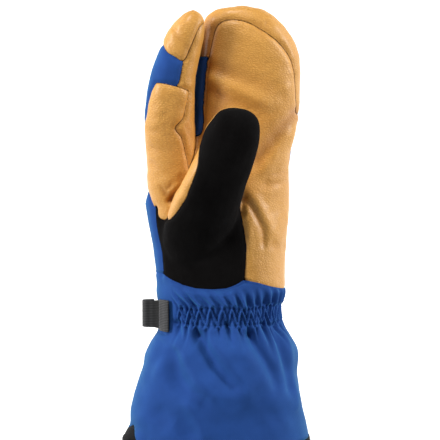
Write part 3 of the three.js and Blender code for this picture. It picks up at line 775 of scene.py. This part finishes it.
# Surfaces that face away keep half of the depth for the painted shade, so the fork's side walls are painted
# darker too.
pressed *= 0.5 + 0.5 * front
inward += creaseDepth(points, backHandFolds) * rear
inward = relaxed(inward, edges, 3)
seamWidth = hand["seamWidth"] * mm
inward += hand["seamDepth"] * mm * np.exp(-((toSeam / seamWidth) ** 2))
besideSeam = easing(toSeam, seamWidth, 3 * seamWidth) * (1 - easing(toSeam, 5 * seamWidth, 12 * seamWidth))
inward -= hand["puff"] * mm * besideSeam
inward += waveLayer(points, hand["softWaves"]) + waveLayer(points, hand["leatherWaves"]) * isLeather
raisedEdge = hand["raisedEdge"] * mm
for name, rise in hand["raised"].items():
    own = distances[:, names.index(name)]
    other = np.delete(distances, names.index(name), axis=1).min(axis=1)
    inward -= rise * mm * easing(other - own, -raisedEdge, raisedEdge)
points = points - normals * inward[:, None]

pieces = {}
for index, name in enumerate(names):
    others = np.delete(distances, index, axis=1).min(axis=1)
    field = others - distances[:, index] - hand["seamGap"] * mm
    slotName = handSlots.get(name, "leather")
    thickness = hand["thickness"]["leather" if slotName == "leather" else "cloth"]
    piecePoints, pieceFaces = clipped(np.column_stack([points, toSeam, pressed]), faces, field)
    piece = pieceOf(
        hand["nodes"][name], piecePoints, pieceFaces, materials[slotName], thickness, ["seam", "pressed"]
    )
    pieces[name] = (piece, slotName)
    print(hand["nodes"][name], len(pieceFaces), "faces")
handTree = BVHTree.FromPolygons(points.tolist(), faces.tolist())


# A smooth curve through a table.
def catmull(xs, ys, x):
    xs, ys = np.array(xs, float), np.array(ys, float)
    slope = np.gradient(ys, xs)
    place = np.clip(np.searchsorted(xs, x) - 1, 0, len(xs) - 2)
    width = xs[place + 1] - xs[place]
    t = np.clip((x - xs[place]) / width, 0, 1)
    a, b = ys[place], ys[place + 1]
    ma, mb = slope[place] * width, slope[place + 1] * width
    rising = a * (1 + 2 * t) * (1 - t) ** 2 + ma * t * (1 - t) ** 2
    return rising + b * t * t * (3 - 2 * t) + mb * t * t * (t - 1)


def sectionAt(height):
    columns = list(zip(*gauntlet["sections"]))
    return [catmull(columns[0], column, height) for column in columns[1:]]


def rounded(value):
    return np.sign(value) * np.abs(value) ** gauntlet["power"]


# A point of the gauntlet's plain form, in mm. Zero of a turn is +X.
def gauntletPoint(turn, height, out=0.0):
    left, right, deep = sectionAt(height)
    down = easing(gauntlet["flareHeight"] - height, 0, gauntlet["flareRise"])
    beside = np.clip(1 - ((turn - gauntlet["flareTurn"]) / gauntlet["flareSpread"]) ** 2, 0, None)
    out = out + gauntlet["flare"] * down * beside
    angle = 2 * math.pi * turn
    x = (left + right) / 2 + ((right - left) / 2 + out) * rounded(np.cos(angle))
    y = (deep + out) * rounded(np.sin(angle))
    return np.stack(np.broadcast_arrays(x, y, height), axis=-1)


# Where round the gauntlet a point of its palm side lies.
def turnOfFront(across, height):
    left, right, _ = sectionAt(height)
    share = (across - (left + right) / 2) / ((right - left) / 2)
    return 1 - math.acos(math.copysign(abs(share) ** (1 / gauntlet["power"]), share)) / (2 * math.pi)


# Counts the gathers round the wrist: those of the palm side stand where the table says.
def gatherPhase(turn):
    tops = [turnOfFront(across, np.array(gauntlet["upperRow"])) for across in gauntlet["gatherTops"]]
    places = [top - tops[0] for top in tops] + [1]
    return np.interp((turn - tops[0]) % 1, places, list(range(len(tops))) + [gauntlet["gathers"]])


def ripples(turn, rows):
    return sum(height * np.sin(2 * math.pi * (turn * count + start)) for height, count, start in rows)


# A fold at each full turn of the angle, narrower as its power grows.
def crest(angle, power):
    return (0.5 + 0.5 * np.cos(angle)) ** power


# How far the elastic's folds stand out, in mm.
def gatherHeight(turn, height):
    phase = 2 * math.pi * (gatherPhase(turn) + ripples(turn, gather["shiftRipples"]))
    upper = gauntlet["upperRow"] + ripples(turn, gather["upperRipples"])
    lower = gauntlet["lowerRow"] + ripples(turn, gather["lowerRipples"])
    strength = 1 + ripples(turn, gather["depthRipples"])
    # Between the rows, two slanting ridges meet in a zigzag, and the cloth puffs out beside them.
    down = np.clip((upper - height) / (upper - lower), -0.25, 1.25)
    leftSlant, rightSlant = phase + math.pi * down, phase - math.pi * down
    ridge = np.maximum(crest(leftSlant, gather["ridgePower"]), crest(rightSlant, gather["ridgePower"]))
    puff = (1 - crest(leftSlant, gather["puffPower"])) * (1 - crest(rightSlant, gather["puffPower"]))
    zigzag = ridge + gather["puff"] * puff
    # Above and below them, the folds fade out.
    over = np.clip((height - upper) / gauntlet["aboveFade"], 0, 1)
    under = np.clip((lower - height) / gauntlet["belowFade"], 0, 1)
    lean = gather["lean"] - gather["leanChange"] * np.cos(2 * math.pi * turn)
    aboveFold = crest(phase + math.pi + lean * over, gather["abovePower"]) * (1 - over)
    belowFold = 1 - crest(phase + math.pi - gather["belowLean"] * under, gather["belowPower"])
    belowFold = belowFold * (1 - under) ** gather["belowEnd"]
    share = easing(np.where(height > upper, height - upper, lower - height), *gather["blend"])
    outer = np.where(height > upper, aboveFold * gather["above"], belowFold * gather["below"])
    between = (height < upper) & (height > lower)
    folds = np.where(between, zigzag, zigzag * (1 - share) + outer * share)
    near = np.minimum(np.abs(height - upper), np.abs(height - lower))
    stitched = np.exp(-((near / gauntlet["rowWidth"]) ** 2))
    inside = np.where(between, 1.0, 1 - np.maximum(over, under))
    flatTurn, flatHalf, flatEnd = gauntlet["flatUnderLoop"]
    gathered = easing(np.abs(turn - flatTurn), flatHalf, flatEnd)
    lift = gauntlet["gatherDepth"] * strength * (gather["rise"] * folds - gather["sink"] * inside)
    return (lift - gauntlet["rowPinch"] * stitched) * gathered


def gauntletShell():
    turns = np.arange(gauntlet["turns"]) / gauntlet["turns"]
    plainTop, plainCount = gauntlet["plainRows"]
    gatherTop, gatherCount = gauntlet["gatherRows"]
    heights = np.concatenate(
        [
            np.linspace(gauntlet["hem"], plainTop, plainCount, endpoint=False),
            np.linspace(plainTop, gatherTop, gatherCount),
            np.linspace(*gauntlet["upperRows"]),
        ]
    )
    tops = gauntlet["cuffRows"]
    rim = gauntletPoint(turns, np.full_like(turns, gauntlet["rimHeight"]))
    edge = cuffTop(rim[:, 0], rim[:, 1])
    rows = []
    for height in heights:
        rows.append((turns, np.full_like(turns, height)))
    for k in range(1, tops + 1):
        rows.append((turns, heights[-1] + (edge - heights[-1]) * k / tops))
    grid = np.stack([gauntletPoint(turn, height) for turn, height in rows])
    height = np.stack([h for _, h in rows])
    turn = np.stack([t for t, _ in rows])
    around = np.roll(grid, -1, axis=1) - np.roll(grid, 1, axis=1)
    outward = np.stack([around[..., 1], -around[..., 0], np.zeros_like(height)], axis=-1)
    outward /= np.linalg.norm(outward, axis=-1, keepdims=True)
    world = grid * mm + middle
    flat = world.reshape(-1, 3)
    lift = gatherHeight(turn, height)
    front = easing(-outward[..., 1], *gauntlet["facing"])
    rear = easing(outward[..., 1], *gauntlet["facing"])
    folds = creaseDepth(flat, gauntletFolds).reshape(height.shape) * front
    folds += creaseDepth(flat, backFolds).reshape(height.shape) * rear
    lift = lift - folds / mm * easing(height, *gauntlet["foldsFrom"])
    wavy = sum(waveLayer(flat, layer) for layer in gauntlet["waves"]).reshape(height.shape)
    lift = lift + wavy / mm * easing(height, *gauntlet["wavesFrom"])
    world = world + outward * (lift * mm)[..., None]
    # The upper rows stay clear of the hand, and the edge closes on it.
    moved = np.zeros(height.shape)
    cast = gauntlet["castFrom"] * mm
    for row in range(len(rows)):
        if rows[row][1][0] < gauntlet["clearFrom"]:
            continue
        share = easing(np.array(row, float), len(rows) - tops - 2, len(rows) - 2)
        for side in range(len(turns)):
            place, way = world[row, side], outward[row, side]
            hit = handTree.ray_cast((place + way * cast).tolist(), (-way).tolist(), 2 * cast)[0]
            if hit is not None:
                gap = (np.array(hit) - place) @ way + gauntlet["cuffLip"] * mm
                moved[row, side] = max(gap, gap * share)
    wide = moved.copy()
    for _ in range(2):
        wide = np.max([wide, np.roll(wide, 1, axis=1), np.roll(wide, -1, axis=1)], axis=0)
        wide[1:-1] = np.max([wide[:-2], wide[1:-1], wide[2:]], axis=0)
    for _ in range(6):
        wide = (np.roll(wide, 1, axis=1) + wide + np.roll(wide, -1, axis=1)) / 3
        wide[1:-1] = (wide[:-2] + wide[1:-1] + wide[2:]) / 3
    moved[:-2] = np.maximum(moved, wide)[:-2]
    world = world + outward * moved[..., None]
    sides = len(turns)
    index = np.arange(world.shape[0] * sides).reshape(world.shape[0], sides)
    nextIndex = np.roll(index, -1, axis=1)
    return world.reshape(-1, 3), cellFaces(index[:-1], nextIndex[:-1], nextIndex[1:], index[1:])


# How far a point lies to the left of a line in the plane of depth and height, in metres.
def leftOf(points, start, end):
    along = np.array(end) - np.array(start)
    along = along / np.linalg.norm(along)
    offset = points[:, 1:] / mm - np.array(start)
    return (along[0] * offset[:, 1] - along[1] * offset[:, 0]) * mm


# Above zero inside the gusset's triangle, which is at the thumb side.
def gussetInside(points):
    apex, front, back = gusset["apex"], gusset["front"], gusset["back"]
    sides = np.minimum(leftOf(points, apex, front), leftOf(points, back, apex))
    inside = np.minimum(leftOf(points, front, back) + gusset["below"] * mm, sides)
    return np.where(points[:, 0] < 0, inside, -gusset["far"] * mm)


gauntletPoints, gauntletFaces = gauntletShell()
gussetField = gussetInside(gauntletPoints - middle)
gussetGap = gusset["gap"] * mm
shellPoints, shellFaces = clipped(gauntletPoints, gauntletFaces, -gussetField - gussetGap)
gussetPoints, gussetFaces = clipped(gauntletPoints, gauntletFaces, gussetField - gussetGap)
pieces["gauntlet"] = (
    pieceOf("gauntletShell", shellPoints, shellFaces, materials["blue_shell"], gauntlet["wall"]),
    "blue_shell",
)
pieces["side_gusset"] = (
    pieceOf("sideGusset", gussetPoints, gussetFaces, materials["black_trim"], gauntlet["wall"]),
    "black_trim",
)
print("gauntlet", len(shellFaces), "faces; gusset", len(gussetFaces), "faces")


# A closed ring round the gauntlet: the profile gives outset and height, anticlockwise seen from +Y.
def ringOf(profile, turns):
    rows = [gauntletPoint(turns, np.full_like(turns, height), out) for out, height in profile]
    world = np.stack(rows) * mm + middle
    count, sides = world.shape[:2]
    index = np.arange(count * sides).reshape(count, sides)
    up = np.roll(index, -1, axis=0)
    return world.reshape(-1, 3), cellFaces(index, np.roll(index, -1, axis=1), np.roll(up, -1, axis=1), up)


hemPoints, hemFaces = ringOf(hemProfile, np.arange(hemTurns) / hemTurns)
pieces["hem_binding"] = (
    pieceOf("hemBinding", hemPoints, hemFaces, materials["black_trim"]),
    "black_trim",
)


def webbingStrip():
    height = loop["height"] - loop["width"] / 2
    tailOut = loop["clearance"] + loop["thickness"] / 2
    side = gauntletPoint(np.array(0.5), np.array(height))[0]
    folded = tailOut + loop["thickness"] + loop["layerGap"]
    turned = [(turn, folded) for turn in loop["overlap"]] + [(loop["turn"], (tailOut + folded) / 2)]
    turned += [(turn, tailOut) for turn in loop["tail"]]
    line = [gauntletPoint(np.array(turn), np.array(height), out)[:2] for turn, out in turned]
    line += [np.array([side - out * loop["reach"], -forward * loop["eye"]]) for out, forward in loop["path"]]
    line = np.array(line)
    length = np.concatenate([[0], np.cumsum(np.linalg.norm(np.diff(line, axis=0), axis=1))])
    along = np.linspace(0, length[-1], loop["steps"])
    centre = np.stack([catmull(length, line[:, k], along) for k in range(2)], axis=1)
    tangent = np.gradient(centre, axis=0)
    tangent /= np.linalg.norm(tangent, axis=1, keepdims=True)
    across = np.stack([-tangent[:, 1], tangent[:, 0]], axis=1)
    half, width = loop["thickness"] / 2, loop["width"]
    profile = []
    for k in range(loop["rows"] + 1):
        share = k / loop["rows"]
        edge = min(share, 1 - share) * width
        profile.append((half * min(1, loop["edgeShare"] + edge / loop["edgeWidth"]), share * width))
    ring = [(-out, up) for out, up in profile] + [(out, up) for out, up in profile[::-1]]
    rows = []
    for k in range(len(along)):
        slim = 1 - loop["narrower"] * easing(along[k] / length[-1], *loop["narrowing"])
        foot = height + loop["footRise"] * width * (1 - slim)
        rows.append([[*(centre[k] + across[k] * out), foot + up * slim] for out, up in ring])
    world = np.array(rows) * mm + middle
    count, sides = world.shape[:2]
    index = np.arange(count * sides).reshape(count, sides)
    nextIndex = np.roll(index, -1, axis=1)
    faces = [cellFaces(index[:-1], index[1:], nextIndex[1:], nextIndex[:-1])]
    # The painted light and shade at each point along the strip.
    paintedLight = np.interp(along / length[-1], *zip(*loop["paintedLight"])) * mm
    flat = np.column_stack([world.reshape(-1, 3), np.repeat(paintedLight, sides)])
    caps = []
    for row, flip in ((0, False), (count - 1, True)):
        for k in range(loop["rows"]):
            p, q = index[row, k], index[row, k + 1]
            r, s = index[row, sides - 2 - k], index[row, sides - 1 - k]
            caps += [[p, q, r], [p, r, s]] if not flip else [[p, r, q], [p, s, r]]
    faces.append(np.array(caps))
    return flat, np.concatenate(faces)


loopPoints, loopFaces = webbingStrip()
pieces["pull_loop"] = (
    pieceOf("pullLoop", loopPoints, loopFaces, materials["webbing"], 0.0, ["paintedLight"]),
    "webbing",
)
print("hem and pull loop made")

for name, (piece, slotName) in pieces.items():
    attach(piece, "root")
    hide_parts(name)


# A round floor that curves up into the backdrop.
def stageFloor():
    reach, bend, height = 2.6, 0.7, 2.8
    profile = [(0.0, 0.0), (reach - bend, 0.0)]
    for k in range(1, 11):
        angle = k * math.pi / 20
        profile.append((reach - bend + bend * math.sin(angle), bend - bend * math.cos(angle)))
    profile.append((reach, height))
    made = bmesh.new()
    points = [made.verts.new((x, 0, z)) for x, z in profile]
    edges = [made.edges.new(pair) for pair in zip(points, points[1:])]
    bmesh.ops.spin(made, geom=points + edges, cent=(0, 0, 0), axis=(0, 0, 1), angle=2 * math.pi, steps=64)
    bmesh.ops.remove_doubles(made, verts=made.verts, dist=1e-5)
    bmesh.ops.recalc_face_normals(made, faces=made.faces)
    bmesh.ops.reverse_faces(made, faces=made.faces)
    mesh = bpy.data.meshes.new("floor")
    made.to_mesh(mesh)
    made.free()
    floor = bpy.data.objects.new("floor", mesh)
    bpy.context.scene.collection.objects.link(floor)
    material, tree, surface, links = shader("floor")
    surface.inputs["Roughness"].default_value = 0.9
    # The backdrop glows, and the floor in front of the mitt does not.
    split = tree.nodes.new("ShaderNodeSeparateXYZ")
    links.new(objectPlace(tree), split.inputs["Vector"])
    glow = ramp(tree, split.outputs["Y"], [(0.0, (0.1, 0.1, 0.1)), (0.09, (1, 1, 1))])
    links.new(glow, surface.inputs["Emission Color"])
    pale = ramp(tree, split.outputs["Y"], [(0.0, (0.2, 0.2, 0.2)), (0.09, (0.6, 0.6, 0.6))])
    links.new(pale, surface.inputs["Base Color"])
    surface.inputs["Emission Strength"].default_value = 0.95
    mesh.materials.append(material)
    for face in mesh.polygons:
        face.use_smooth = True


def softLight(name, place, size, power, aim=(0, 0, 0.2)):
    light = bpy.data.lights.new(name, "AREA")
    light.shape = "RECTANGLE"
    light.size, light.size_y = size
    light.energy = power
    lamp = bpy.data.objects.new(name, light)
    bpy.context.scene.collection.objects.link(lamp)
    lamp.location = place
    direction = np.array(aim, float) - np.array(place, float)
    tilt = math.atan2(math.hypot(direction[0], direction[1]), -direction[2])
    lamp.rotation_euler = (tilt, 0, math.atan2(direction[1], direction[0]) - math.pi / 2)


# Each light's place and size in metres, and its watts.
lights = {
    "leftBox": ((-1.38, -0.57, 0.65), (0.3, 0.9), 27),
    "rightBox": ((1.45, -0.35, 0.7), (0.3, 0.9), 23),
    "topBox": ((-0.2, -0.6, 1.6), (0.3, 0.3), 14),
}
stageFloor()
for name, (place, size, power) in lights.items():
    softLight(name, place, size, power)
world = bpy.data.worlds.new("studio")
world.use_nodes = True
world.node_tree.nodes["Background"].inputs["Color"].default_value = (1, 1, 1, 1)
world.node_tree.nodes["Background"].inputs["Strength"].default_value = 0.03
bpy.context.scene.world = world

view = {"height": 186.2, "elevation": 5.0, "distance": 1.6, "lens": 163.64}
camera = bpy.data.objects.new("camera", bpy.data.cameras.new("camera"))
bpy.context.scene.collection.objects.link(camera)
tilt = math.radians(view["elevation"])
camera.location = (
    middle[0],
    middle[1] - view["distance"] * math.cos(tilt),
    view["height"] * mm + view["distance"] * math.sin(tilt),
)
camera.rotation_euler = (math.pi / 2 - tilt, 0, 0)
camera.data.lens = view["lens"]
camera.data.sensor_width = 36
bpy.context.scene.camera = camera
bpy.context.scene.view_settings.view_transform = "Standard"
